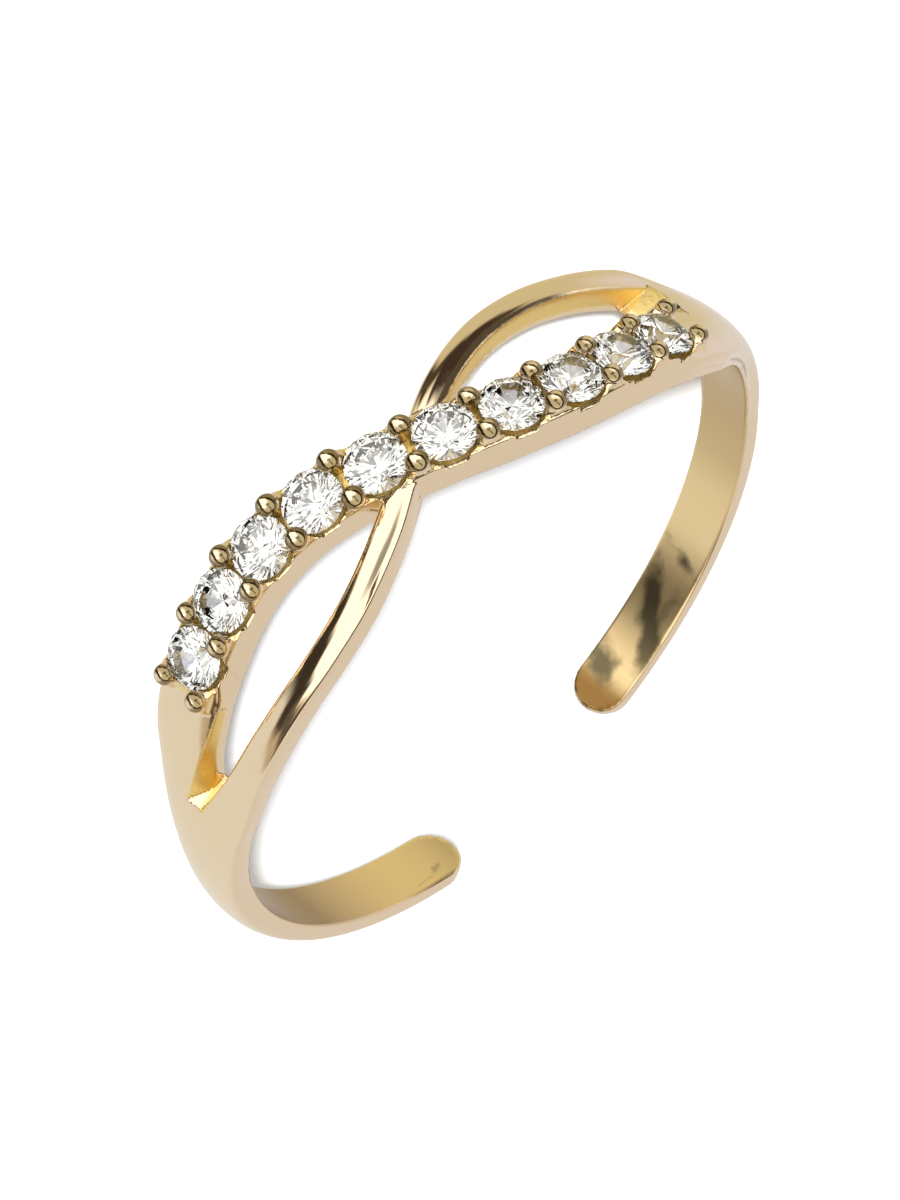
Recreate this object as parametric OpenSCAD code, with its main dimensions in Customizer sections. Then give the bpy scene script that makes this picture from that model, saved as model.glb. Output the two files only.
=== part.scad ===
// Open toe ring: one cast gold body whose band splits at the crown into two strands that
// cross like a figure eight. One strand carries a row of round stones held by shared beads.
// Lengths are in millimetres. The ring lies on its side, as it would by itself.

/* [Band] */
// Inner diameter
inner_d = 15.5; // [14:0.1:18]
// Width of the band round the back
band_w = 1.38; // [1.2:0.02:1.8]
// Thickness at the middle of the domed band
band_t = 0.68; // [0.55:0.01:0.9]
// Thickness at the edges of the band
band_edge_t = 0.34; // [0.25:0.01:0.45]
// Angle from the crown to the right end of the band
right_end = 168; // [155:1:172]
// Angle from the crown to the left end of the band
left_end = 158; // [150:1:170]
// How far the left end is bent out of the band's plane
left_drift = 0.16; // [0:0.02:0.3]

/* [Strands] */
// Distance of a strand from the middle plane where the openings are widest
crown_spread = 1.27; // [1.2:0.01:1.5]
// Width of the stone strand at its foot
rail_w = 1.56; // [1.5:0.02:1.8]
// Width of the stone strand at its top
rail_top_w = 1.36; // [1.3:0.02:1.42]
// Height of the stone strand above the bore
rail_t = 0.75; // [0.7:0.01:0.8]
// Width of the plain strand
plain_w = 0.68; // [0.6:0.02:0.85]
// Thickness at the middle of the plain strand
plain_t = 0.74; // [0.65:0.01:0.8]
// Thickness at the edges of the plain strand
plain_edge_t = 0.5; // [0.4:0.01:0.55]
// Angle past the last stone at which the strands join
join_past_row = 18; // [15:1:22]
// Angle past the join over which the shoulder narrows to the band
shoulder_reach = 35; // [30:1:45]
// Angle over which the floor of the fork slopes down to the bore
fork_slope = 4.5; // [3:0.5:7]
// Angle by which the web between the strands reaches past the join on the right
right_web = 10; // [0:1:12]

/* [Stones] */
// Number of stones in the row
stone_count = 10; // [8:1:11]
// Diameter of a stone
stone_d = 1.37; // [1.25:0.01:1.4]
// Gap between neighbouring stones
stone_gap = 0.035; // [0.03:0.005:0.1]
// Height of a stone's girdle above the bore
girdle_h = 0.84; // [0.8:0.01:0.9]
// Thickness of the girdle
girdle_t = 0.03; // [0.02:0.01:0.05]
// Air left between a stone and the gold
seat_air = 0.02; // [0.01:0.005:0.03]
// Height of the seats' floor above the bore
floor_h = 0.63; // [0.58:0.01:0.68]
// Diameter of the open drill hole under a stone
drill_d = 0.62; // [0.4:0.02:0.7]
// Width of the groove between the two rows of beads
groove_w = 0.56; // [0.4:0.02:0.6]

/* [Beads] */
// Distance of a bead from the middle of the strand
bead_spread = 0.47; // [0.44:0.01:0.5]
// Diameter of a bead
bead_d = 0.5; // [0.46:0.01:0.54]
// Diameter of a bead's foot
bead_foot_d = 0.52; // [0.5:0.01:0.56]
// Height of a bead's top above the bore
bead_top_h = 1.19; // [1.15:0.01:1.25]

/* [Hidden] */
bore_r = inner_d / 2;
row_r = bore_r + girdle_h;
pitch = 2 * asin((stone_d + stone_gap) / 2 / row_r);
row_half = stone_count / 2 * pitch;
join = row_half + join_past_row;
tip_angle = band_w / 2 / bore_r * 180 / PI;
bore_margin = 0.3;
row_relief = 0.005;
flush_inset = 0.03;

// The two strands on one half of the ring. The angle is a share of the join angle. Each strand's
// middle is a share of crown_spread, and its half width a share of its own half width.
strand_columns = ["angle", "stone", "stone_half", "plain", "plain_half"];
strands = [
    [0.00, 0.00, 1.09, 0.00, 1.12],
    [0.15, 0.48, 1.07, 0.55, 1.09],
    [0.31, 0.85, 1.02, 0.89, 1.03],
    [0.46, 1.00, 1.00, 0.96, 1.00],
    [0.62, 0.98, 1.03, 0.86, 1.02],
    [0.77, 0.90, 1.04, 0.72, 1.12],
    [0.88, 0.80, 1.03, 0.60, 1.20],
    [0.94, 0.70, 1.02, 0.51, 1.34],
    [1.00, 0.59, 0.97, 0.40, 1.53],
    [1.05, 0.52, 0.97, 0.33, 1.60],
];

// How the shoulder narrows from the join to the band. The angle is a share of shoulder_reach,
// and the others are shares of what each side and the thickness still have to lose.
shoulder_columns = ["angle", "stone", "plain", "thickness"];
shoulder = [
    [0.00, 1.00, 1.00, 1.00],
    [0.14, 0.73, 0.67, 0.90],
    [0.37, 0.42, 0.32, 0.60],
    [0.57, 0.23, 0.09, 0.30],
    [0.77, 0.11, 0.02, 0.10],
    [1.00, 0.00, 0.00, 0.00],
    [1.20, 0.00, 0.00, 0.00],
];

// The pairs of beads along the row, from its left end at -1 to its right end at 1. A pair is
// turned by some degrees against the band. Its spread is a share of bead_spread, and its size a
// share of bead_d.
pair_columns = ["place", "turn", "spread", "size"];
pairs = [
    [-1.0, 1, 1.00, 0.94],
    [-0.8, 8, 1.07, 1.00],
    [-0.4, 8, 1.06, 1.04],
    [-0.2, 15, 1.06, 1.06],
    [0.0, 22, 0.96, 1.08],
    [0.2, 18, 0.92, 1.06],
    [0.4, 13, 0.96, 1.00],
    [0.8, 9, 1.00, 0.92],
    [1.0, 4, 1.03, 0.90],
];

// Where the ring touches the surface that it lies on: the two strands' edges, at shares of the
// join angle, and the band's edge at the back, at an angle from the crown
rest_stone_side = 0.5;
rest_plain_side = 0.52;
rest_back = 136;

merge_from = 0.78;
// Width of the fork's floor and of the web, as shares of the whole width over the strands
fork_in = 0.85;
web_in = 0.95;
overlap = 1.5;
strand_steps = 22;
web_steps = 3;
shoulder_steps = 10;
band_steps = 12;
tip_steps = 5;
dome_steps = 10;
seat_sides = 20;
bead_sides = 12;

function stone_name(i) = str("stone_", i < 10 ? "0" : "", i);

// Smooth value of one column of a table at x, by cubic pieces through its rows
function row_below(table, x, i = 0) =
    i >= len(table) - 2 || table[i + 1][0] > x ? i : row_below(table, x, i + 1);
function slope_at(table, column, i) =
    let (a = max(i - 1, 0), b = min(i + 1, len(table) - 1))
    (table[b][column] - table[a][column]) / (table[b][0] - table[a][0]);
function smooth(table, column, x) =
    let (
        i = row_below(table, x),
        width = table[i + 1][0] - table[i][0],
        t = min(max((x - table[i][0]) / width, 0), 1),
        from = table[i][column],
        to = table[i + 1][column],
        out = slope_at(table, column, i) * width,
        in = slope_at(table, column, i + 1) * width
    )
    from * (1 + 2 * t) * pow(1 - t, 2) + out * t * pow(1 - t, 2)
    + to * t * t * (3 - 2 * t) - in * t * t * (1 - t);

function column_of(names, name) = search([name], names)[0];
function side(a) = a < 0 ? -1 : 1;
function strand_value(name, a) =
    smooth(strands, column_of(strand_columns, name), abs(a) / join);
function pair_value(name, place) = smooth(pairs, column_of(pair_columns, name), place);
function stone_half(a) = rail_w / 2 * strand_value("stone_half", a);
function plain_half(a) = plain_w / 2 * strand_value("plain_half", a);
function stone_middle(a) = side(a) * crown_spread * strand_value("stone", a);
function plain_middle(a) = -side(a) * crown_spread * strand_value("plain", a);

// Outer edges and thickness of the two strands together, and of the band past the join
function left_to_lose(name, a) =
    smooth(shoulder, column_of(shoulder_columns, name), (abs(a) - join) / shoulder_reach);
function stone_edge(a) = abs(a) < join
    ? crown_spread * strand_value("stone", a) + stone_half(a)
    : band_w / 2 + (stone_edge(join - 0.001) - band_w / 2) * left_to_lose("stone", a);
function plain_edge(a) = abs(a) < join
    ? crown_spread * strand_value("plain", a) + plain_half(a)
    : band_w / 2 + (plain_edge(join - 0.001) - band_w / 2) * left_to_lose("plain", a);
function thickness(a) = band_t + (plain_t - band_t) * left_to_lose("thickness", a);

// Height of the whole band's dome at a place across it
function dome_height(a, across) =
    let (
        low = a < 0 ? -stone_edge(a) : -plain_edge(a),
        high = a < 0 ? plain_edge(a) : stone_edge(a),
        u = (across - (low + high) / 2) / ((high - low) / 2)
    )
    band_edge_t + (thickness(a) - band_edge_t) * sqrt(max(1 - u * u, 0));

// How far a strand's own section has turned into a part of the whole band's dome
function merged(a) =
    let (t = min(max((abs(a) / join - merge_from) / (1 - merge_from), 0), 1))
    t * t * (3 - 2 * t);

function ring_point(a, across, r) = [r * sin(a), r * cos(a), across];

// Cross-section with upright sides and a domed top, from its lowest to its highest edge. A part
// of its height, blend, is that of the whole band's dome.
function domed(a, low, high, edge, top, blend = 0, scale = 1) =
    let (middle = (low + high) / 2, half = (high - low) / 2)
    [
        ring_point(a, low, bore_r - bore_margin),
        for (k = [0:dome_steps])
            let (
                turn = 180 - 180 * k / dome_steps,
                across = middle + half * cos(turn),
                own = edge + (top - edge) * sin(turn),
                whole = blend > 0 ? dome_height(a, across) : 0
            )
            ring_point(a, across, bore_r + scale * ((1 - blend) * own + blend * whole)),
        ring_point(a, high, bore_r - bore_margin),
    ];

// Cross-section with sloping sides and a flat top
function railed(a, middle, half, top_half) =
    let (
        slope = (half - top_half) / rail_t,
        deep = half + slope * bore_margin
    )
    [
        ring_point(a, middle - deep, bore_r - bore_margin),
        ring_point(a, middle - top_half, bore_r + rail_t),
        ring_point(a, middle + top_half, bore_r + rail_t),
        ring_point(a, middle + deep, bore_r - bore_margin),
    ];

module skin(sections) {
    n = len(sections[0]);
    last = len(sections) - 1;
    sides = [
        for (s = [0:last - 1], k = [0:n - 1])
            let (a = s * n + k, b = s * n + (k + 1) % n)
            each [[a, b + n, b], [a, a + n, b + n]]
    ];
    first_cap = [for (k = [0:n - 1]) k];
    last_cap = [for (k = [n - 1:-1:0]) last * n + k];
    polyhedron(concat([for (s = sections) each s]), concat(sides, [first_cap, last_cap]));
}

// Stands its children upright on the ring, their own z axis pointing outwards
module on_ring(a, across, r) {
    rotate([0, 0, -a])
        translate([0, 0, across])
            rotate([-90, 0, 0])
                translate([0, 0, r])
                    children();
}

// Lays its children down on the ring's far side, with the middle of the ring over the origin
module lying() {
    left = rest_stone_side * join;
    right = rest_plain_side * join;
    contact = ring_point(-left, -stone_edge(left), bore_r);
    up = let (
        to_back = ring_point(rest_back, -band_w / 2, bore_r + band_edge_t) - contact,
        to_right = ring_point(right, -plain_edge(right), bore_r) - contact,
        n = cross(to_back, to_right)
    ) n / norm(n);
    front = bore_r + bead_top_h;
    back = (bore_r + band_t) * cos(180 - right_end + tip_angle);
    translate([0, (back - front) / 2, -contact * up])
        rotate(a = acos(up.z), v = cross(up, [0, 0, 1]))
            children();
}

// Angles of a strand's sections out to one side, the last ones inside the band
function strand_angles(from) = [
    for (k = [0:strand_steps]) from + (join - from) * k / strand_steps,
    join + overlap,
];

function plain_section(a) =
    let (in = abs(a) > join ? 0.9 : 1, middle = plain_middle(a), half = plain_half(a) * in)
    domed(a, middle - half, middle + half, plain_edge_t, plain_t, merged(a), in);

function stone_section(a) =
    let (in = abs(a) > join ? 0.9 : 1, middle = stone_middle(a), half = stone_half(a) * in)
    domed(a, middle - half, middle + half, plain_edge_t, rail_t, merged(a), in);

module plain_strand() {
    out = strand_angles(0);
    count = len(out);
    skin([
        for (k = [count - 1:-1:1]) plain_section(-out[k]),
        for (k = [0:count - 1]) plain_section(out[k]),
    ]);
}

module stone_rail() {
    reach = row_half + pitch * 0.1;
    skin([
        for (k = [-strand_steps:strand_steps])
            let (a = reach * k / strand_steps, wide = strand_value("stone_half", a))
            railed(a, stone_middle(a), rail_w / 2 * wide, rail_top_w / 2 * wide)
    ]);
}

// The stone strand past its last stone, up to the join
module stone_shoulder(way) {
    out = strand_angles(row_half - pitch * 0.25);
    count = len(out);
    skin([for (k = [0:count - 1]) stone_section(way * out[way > 0 ? k : count - 1 - k])]);
}

// One section of the band. Its sides draw in at the round end, and between the strands it is a
// web, which slopes down in the fork.
function band_section(way, angle, web_end, end) =
    let (
        past = max((angle - end + tip_angle) / tip_angle, 0),
        round = sqrt(1 - past * past),
        fork = angle < web_end ? 0.1 : 1,
        in = round * (angle < web_end ? fork_in : angle < join ? web_in : 1),
        low = in * (way > 0 ? plain_edge(angle) : stone_edge(angle)),
        high = in * (way > 0 ? stone_edge(angle) : plain_edge(angle)),
        bent = max((angle - join - shoulder_reach) / (end - join - shoulder_reach), 0),
        drift = way > 0 ? 0 : left_drift * bent * bent,
        end_t = band_edge_t * 0.7,
        top = end_t + (thickness(angle) - end_t) * round,
        edge = min(band_edge_t, top * 0.95)
    )
    domed(way * angle, drift - low, drift + high, edge, top, 0, fork);

module band_side(way, web, end) {
    wide = join + shoulder_reach;
    web_end = join - web;
    angles = [
        web_end - fork_slope,
        for (k = [0:web_steps - 1]) if (web > 0) web_end + web * k / web_steps,
        for (k = [0:shoulder_steps]) join + (wide - join) * k / shoulder_steps,
        for (k = [1:band_steps]) wide + (end - tip_angle - wide) * k / band_steps,
        for (k = [1:tip_steps]) end - tip_angle + tip_angle * sin(86 * k / tip_steps),
    ];
    count = len(angles);
    skin([
        for (k = [0:count - 1])
            band_section(way, angles[way > 0 ? k : count - 1 - k], web_end, end)
    ]);
}

module bead(size) {
    r = bead_d / 2 * size;
    foot = floor_h - 0.1;
    neck = bead_top_h - r;
    rotate_extrude($fn = bead_sides)
        polygon([
            [0, foot],
            [bead_foot_d / 2 * size, foot],
            [r, neck],
            for (k = [1:3]) [r * cos(30 * k), neck + r * sin(30 * k)],
        ]);
}

module beads() {
    for (j = [0:stone_count], way = [-1, 1]) {
        place = j / stone_count * 2 - 1;
        a = place * row_half;
        turn = pair_value("turn", place);
        spread = way * bead_spread * pair_value("spread", place);
        along = -spread * sin(turn) / row_r * 180 / PI;
        on_ring(a + along, stone_middle(a) + spread * cos(turn), bore_r)
            bead(pair_value("size", place));
    }
}

// Room for the beads, whose outer side is flush with the strand's upper side
module bead_room() {
    reach = row_half + pitch / 2;
    room_h = bead_top_h + 0.1;
    skin([
        for (k = [-strand_steps:strand_steps])
            let (
                a = reach * k / strand_steps,
                low = stone_middle(a) - rail_w,
                high = stone_middle(a) + stone_half(a) - flush_inset,
                slope = (rail_w - rail_top_w) / rail_w * stone_half(a) / rail_t
            )
            [
                ring_point(a, low, bore_r),
                ring_point(a, low, bore_r + room_h),
                ring_point(a, high - slope * room_h, bore_r + room_h),
                ring_point(a, high, bore_r),
            ]
    ]);
}

// Sizes of a cut stone, as shares of its diameter
table_share = 0.56;
crown_share = 0.155;
pavilion_share = 0.43;
stone_angle = function(i) (i - (stone_count + 1) / 2) * pitch;

module at_stone(i) {
    on_ring(stone_angle(i), stone_middle(stone_angle(i)), bore_r)
        children();
}

// Everything that a stone takes out of the gold: its drill hole, its seat and its own shape
module seat() {
    r = stone_d / 2 + seat_air;
    culet = girdle_h - girdle_t / 2 - pavilion_share * stone_d;
    slope = pavilion_share * stone_d / (stone_d / 2);
    floor_r = r - (girdle_h - girdle_t / 2 - floor_h) / slope;
    drill_top = culet + drill_d / 2 * slope - seat_air;
    rotate_extrude($fn = seat_sides)
        polygon([
            [0, -bore_margin * 2],
            [drill_d / 2, -bore_margin * 2],
            [drill_d / 2, drill_top],
            [floor_r, floor_h - seat_air],
            [r, floor_h - seat_air],
            [r, girdle_h + girdle_t / 2 + seat_air],
            [stone_d / 2 * table_share + seat_air,
                girdle_h + girdle_t / 2 + crown_share * stone_d + seat_air],
            [0, girdle_h + girdle_t / 2 + crown_share * stone_d + seat_air],
        ]);
}

// Room between the bead rows, so that no thin web is left between two seats
module row_groove() {
    skin([
        for (k = [-strand_steps:strand_steps])
            let (a = (row_half - pitch / 2) * k / strand_steps, middle = stone_middle(a))
            [
                ring_point(a, middle - groove_w / 2, bore_r + floor_h),
                ring_point(a, middle - groove_w / 2, bore_r + bead_top_h),
                ring_point(a, middle + groove_w / 2, bore_r + bead_top_h),
                ring_point(a, middle + groove_w / 2, bore_r + floor_h),
            ]
    ]);
}

module casting() {
    plain_strand();
    stone_rail();
    stone_shoulder(1);
    stone_shoulder(-1);
    band_side(1, right_web, right_end);
    band_side(-1, 0, left_end);
    intersection() {
        beads();
        bead_room();
    }
}

// The bore under the row of stones, wider than the rest by a hair
module row_bore() {
    reach = row_half + pitch / 4;
    steps = ceil(reach);
    linear_extrude(height = inner_d, center = true)
        polygon([
            [0, 0],
            for (k = [-steps:steps])
                let (a = reach * k / steps)
                (bore_r + row_relief) * [sin(a), cos(a)],
        ]);
}

module ring_body() {
    color("goldenrod")
        lying()
            difference() {
                resize([0, 0, 0])
                    difference() {
                        casting();
                        row_groove();
                        for (i = [1:stone_count]) at_stone(i) seat();
                        row_bore();
                    }
                cylinder(r = bore_r, h = inner_d, center = true, $fn = 180);
            }
}

// Round brilliant: table, star, kite and half facets above the girdle, and main and half
// facets below it
module stone(i) {
    r = stone_d / 2;
    table_r = r * table_share;
    star_r = (table_r + r) / 2;
    star_share = (r - star_r * cos(22.5)) / (r - table_r);
    top = girdle_h + girdle_t / 2;
    bottom = girdle_h - girdle_t / 2;
    crown_h = crown_share * stone_d;
    deep = pavilion_share * stone_d;
    half_r = r * 0.22;
    points = [
        for (k = [0:7]) [table_r * cos(45 * k), table_r * sin(45 * k), top + crown_h],
        for (k = [0:7]) [star_r * cos(45 * k + 22.5), star_r * sin(45 * k + 22.5),
            top + crown_h * star_share],
        for (k = [0:15]) [r * cos(22.5 * k), r * sin(22.5 * k), top],
        for (k = [0:15]) [r * cos(22.5 * k), r * sin(22.5 * k), bottom],
        for (k = [0:7]) [half_r * cos(45 * k + 22.5), half_r * sin(45 * k + 22.5),
            bottom - deep * 0.8],
        [0, 0, bottom - deep],
    ];
    table = [for (k = [7:-1:0]) k];
    stars = [for (k = [0:7]) [k, (k + 1) % 8, 8 + k]];
    kites = [for (k = [0:7]) each [[k, 8 + k, 16 + 2 * k], [k, 16 + 2 * k, 8 + (k + 7) % 8]]];
    halves = [
        for (k = [0:7]) each [
            [8 + k, 17 + 2 * k, 16 + 2 * k],
            [8 + k, 16 + (2 * k + 2) % 16, 17 + 2 * k]
        ]
    ];
    girdle = [
        for (k = [0:15])
            let (n = (k + 1) % 16)
            each [[16 + k, 16 + n, 32 + n], [16 + k, 32 + n, 32 + k]]
    ];
    below = [
        for (k = [0:7]) each [
            [32 + 2 * k, 33 + 2 * k, 48 + k],
            [33 + 2 * k, 32 + (2 * k + 2) % 16, 48 + k]
        ]
    ];
    mains = [
        for (k = [0:7]) each [
            [32 + 2 * k, 48 + k, 56],
            [32 + 2 * k, 56, 48 + (k + 7) % 8]
        ]
    ];
    color("aliceblue")
        lying()
            at_stone(i)
                rotate([0, 0, 17 * i])
                    polyhedron(points, concat([table], stars, kites, halves, girdle, below, mains));
}

ring_body();
for (i = [1:stone_count]) stone(i);
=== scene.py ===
"""Looks of an open toe ring: a gold casting whose band splits into two crossing strands, one of
them set with a row of round stones. The casting is one smooth skin round a solid that is written
as a distance, in the ring's own frame: angle from the crown, place across the band, and height
above the bore. Lengths are in millimetres until a mesh or a place goes to Blender, and angles
are in degrees. The angle is 0 at the crown and grows towards the right end of the band."""

import math

import bpy
import numpy as np
from mathutils import Matrix, Vector


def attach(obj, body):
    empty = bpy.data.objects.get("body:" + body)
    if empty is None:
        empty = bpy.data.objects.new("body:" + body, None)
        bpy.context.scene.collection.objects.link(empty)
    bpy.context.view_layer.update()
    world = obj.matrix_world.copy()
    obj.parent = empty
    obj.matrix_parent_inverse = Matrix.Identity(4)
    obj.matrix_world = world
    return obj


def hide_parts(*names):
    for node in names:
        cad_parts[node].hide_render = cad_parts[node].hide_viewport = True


MM = 0.001

# Band
BORE_R = 7.75
BAND_W = 1.38
BAND_T = 0.68
BAND_EDGE_T = 0.34
RIGHT_END = 168
LEFT_END = 158
LEFT_DRIFT = 0.16
TIP_DROP = 0.1
TIP_DROP_FROM = 0.2

# Strands. The stone strand is the rail. A strand runs on into the band for STRAND_LAP degrees past
# the join, and the last four values are shares of the join angle.
CROWN_SPREAD = 1.27
RAIL_W = 1.56
RAIL_TOP_W = 1.36
RAIL_T = 0.75
PLAIN_W = 0.68
PLAIN_T = 0.74
PLAIN_EDGE_T = 0.5
JOIN_PAST_ROW = 18
SHOULDER_REACH = 35
STRAND_LAP = 1
FORK_SLOPE = 4.5
RIGHT_WEB = 10
BEVEL_W = 0.42
BEVEL_FOOT = 0.28
BEVEL_GROWTH = 1.5
WIDEST_AT = 0.5
MERGE_FROM = 0.78
CROSS_WHOLE = 0.3
CROSS_GONE = 0.6

# Stones and their seats. A seat shapes the metal within SEAT_REACH degrees of its stone. The cuts
# for a stone count the way out from its axis for less than it is, as their sides slope.
STONE_COUNT = 10
STONE_D = 1.37
STONE_GAP = 0.035
GIRDLE_H = 0.84
GIRDLE_T = 0.03
SEAT_AIR = 0.02
FLOOR_H = 0.63
DRILL_D = 0.62
GROOVE_W = 0.56
TABLE_SHARE = 0.56
CROWN_SHARE = 0.155
PAVILION_SHARE = 0.43
LOW_CUT_SLANT = 0.76
HIGH_CUT_SLANT = 0.82
SEAT_REACH = 7.0

# Beads. Each dome has painted dark reflection from the first of the cap heights up, and from the
#  third up it is left polished as a painted highlight; the second and fourth are the widths of these
#  fades. The filing of its mound ends about its neck, over shares of its radius.
BEAD_SPREAD = 0.47
BEAD_D = 0.5
BEAD_TOP_H = 1.19
BEAD_DEPTH = 0.25
BEAD_REACH = 3.5
CAP_FROM = 0.96
CAP_FADE = 0.1
CAP_HIGHLIGHT_FROM = 1.155
CAP_HIGHLIGHT_FADE = 0.02
FLUSH_INSET = 0.03
FAR_OVERHANG = 0.05
FILED_BELOW_NECK = 0.5
FILED_ABOVE_NECK = 0.25
MOUND_REACH = 0.13
MOUND_H = 0.3

# The two strands on one half of the ring. The angle is a share of the join angle. Each strand's
# middle is a share of CROWN_SPREAD, and its half width a share of its own half width.
S_STONE, S_STONE_HALF, S_PLAIN, S_PLAIN_HALF = 1, 2, 3, 4
STRANDS = np.array([
    [0.00, 0.00, 1.09, 0.00, 1.12],
    [0.15, 0.48, 1.07, 0.55, 1.09],
    [0.31, 0.85, 1.02, 0.89, 1.03],
    [0.46, 1.00, 1.00, 0.96, 1.00],
    [0.62, 0.98, 1.03, 0.86, 1.02],
    [0.77, 0.90, 1.04, 0.72, 1.12],
    [0.88, 0.796, 1.03, 0.60, 1.20],
    [0.94, 0.69, 1.02, 0.51, 1.34],
    [1.00, 0.596, 0.97, 0.40, 1.53],
    [1.05, 0.50, 0.97, 0.33, 1.60],
])

# How the shoulder narrows from the join to the band. The angle is a share of SHOULDER_REACH, and
# the others are shares of what each side and the thickness still have to lose.
B_STONE, B_PLAIN, B_THICK = 1, 2, 3
SHOULDER = np.array([
    [-0.14, 1.257, 1.24, 0.90],
    [0.00, 1.00, 1.00, 1.00],
    [0.14, 0.765, 0.67, 0.90],
    [0.37, 0.4375, 0.32, 0.60],
    [0.57, 0.235, 0.09, 0.30],
    [0.77, 0.11, 0.02, 0.10],
    [1.00, 0.00, 0.00, 0.00],
    [1.20, 0.00, 0.00, 0.00],
])

# The pairs of beads along the row, from its left end at -1 to its right end at 1. A pair is
# turned by some degrees against the band. Its spread is a share of BEAD_SPREAD, and its size a
# share of BEAD_D.
P_TURN, P_SPREAD, P_SIZE = 1, 2, 3
PAIRS = np.array([
    [-1.0, 1, 1.00, 0.94],
    [-0.8, 8, 1.07, 1.00],
    [-0.4, 8, 1.06, 1.04],
    [-0.2, 15, 1.06, 1.06],
    [0.0, 22, 0.96, 1.08],
    [0.2, 18, 0.92, 1.06],
    [0.4, 13, 0.96, 1.00],
    [0.8, 9, 1.00, 0.92],
    [1.0, 4, 1.03, 0.90],
])

ROW_R = BORE_R + GIRDLE_H
PITCH = math.degrees(2 * math.asin((STONE_D + STONE_GAP) / 2 / ROW_R))
ROW_HALF = STONE_COUNT / 2 * PITCH
ROW_END = ROW_HALF + PITCH / 10
ROW_LAP = PITCH / 20
JOIN = ROW_HALF + JOIN_PAST_ROW
TIP_ANGLE = math.degrees(BAND_W / 2 / BORE_R)

# Softness of the casting's edges and corners
BORE_ROUND = 0.09
EDGE_ROUND = 0.06
SEAT_ROUND = 0.03
BEAD_FILLET = 0.05
BEAD_EDGE = 0.04
BEVEL_ROUND = 0.03
CROSS_FILLET = 0.07
LEAST_FILLET = 0.001
DOME_LIMIT = 0.998

# Cells of the grid that the skin is drawn from. They grow over some degrees past the join, and
# some of them stay empty beyond the casting.
CROWN_CELL = 0.05
SHANK_CELL = 0.2
ACROSS_CELL = 0.05
HEIGHT_CELL = 0.045
CELL_GROWTH = 25
EMPTY_CELLS = 3
EMPTY_ANGLE = 2

# How the skin's points are moved onto the surface
SETTLE_ROUNDS = 3
SETTLE_SHARE = 0.5
LEAST_SLOPE = 0.05
LONGEST_MOVE = 0.04
SLOPE_STEP = 0.003


def smooth(table, column, x):
    """Value of one column of a table at x, by cubic pieces through its rows."""
    places = table[:, 0]
    values = table[:, column]
    last = len(places) - 1
    below = np.maximum(np.arange(last + 1) - 1, 0)
    above = np.minimum(np.arange(last + 1) + 1, last)
    slopes = (values[above] - values[below]) / (places[above] - places[below])
    i = np.clip(np.searchsorted(places, x, side="right") - 1, 0, last - 1)
    width = places[i + 1] - places[i]
    t = np.clip((x - places[i]) / width, 0, 1)
    start = values[i] * (1 + 2 * t) * (1 - t) ** 2 + slopes[i] * width * t * (1 - t) ** 2
    end = values[i + 1] * t * t * (3 - 2 * t) - slopes[i + 1] * width * t * t * (1 - t)
    return start + end


def ease(x, low, high):
    """0 up to low, 1 from high, and a smooth rise between."""
    t = np.clip((x - low) / (high - low), 0, 1)
    return t * t * (3 - 2 * t)


def soft_max(a, b, k):
    """The larger of two distances, with the corner between them rounded."""
    h = np.maximum(k - np.abs(a - b), 0)
    return np.maximum(a, b) + h * h / (4 * k)


def soft_min(a, b, k):
    return -soft_max(-a, -b, k)


def side(a):
    """-1 on the left half of the ring and 1 on the right half."""
    return np.where(a < 0, -1.0, 1.0)


def stone_middle(a):
    """Place across of the stone strand's middle, which crosses over at the crown."""
    return side(a) * CROWN_SPREAD * smooth(STRANDS, S_STONE, np.abs(a) / JOIN)


def plain_middle(a):
    return -side(a) * CROWN_SPREAD * smooth(STRANDS, S_PLAIN, np.abs(a) / JOIN)


def stone_half(a):
    return RAIL_W / 2 * smooth(STRANDS, S_STONE_HALF, np.abs(a) / JOIN)


def plain_half(a):
    return PLAIN_W / 2 * smooth(STRANDS, S_PLAIN_HALF, np.abs(a) / JOIN)


def web_end(a):
    """Angle at which the band has closed the gap between the strands."""
    return JOIN - np.where(a < 0, 0, RIGHT_WEB)


def left_to_lose(column, a):
    """What the shoulder still has to lose at an angle, as a share of all that it loses."""
    return smooth(SHOULDER, column, np.maximum(np.abs(a) - JOIN, 0) / SHOULDER_REACH)


def outer_edge(a, strand, half, half_width, column):
    """Outer edge of one strand, and past the join of that side of the band."""
    inside = np.minimum(np.abs(a), JOIN) / JOIN
    middle = CROWN_SPREAD * smooth(STRANDS, strand, inside)
    edge = middle + half_width * smooth(STRANDS, half, inside)
    narrowed = BAND_W / 2 + (edge - BAND_W / 2) * left_to_lose(column, a)
    return np.where(np.abs(a) < JOIN, edge, narrowed)


def stone_edge(a):
    return outer_edge(a, S_STONE, S_STONE_HALF, RAIL_W / 2, B_STONE)


def plain_edge(a):
    return outer_edge(a, S_PLAIN, S_PLAIN_HALF, PLAIN_W / 2, B_PLAIN)


def whole_edges(a):
    """Lower and upper edge of both strands together, and past the join of the band."""
    low = np.where(a < 0, -stone_edge(a), -plain_edge(a))
    high = np.where(a < 0, plain_edge(a), stone_edge(a))
    return low, high


def dome(across, middle, half, edge, top):
    """Height and slope of a dome across a strand or the band."""
    u = np.clip((across - middle) / half, -DOME_LIMIT, DOME_LIMIT)
    rise = np.sqrt(1 - u * u)
    return edge + (top - edge) * rise, (top - edge) * u / (half * rise)


def under(height, surface, slope):
    """Distance above a surface of some slope, negative below it."""
    return (height - surface) / np.sqrt(1 + slope * slope)


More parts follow.
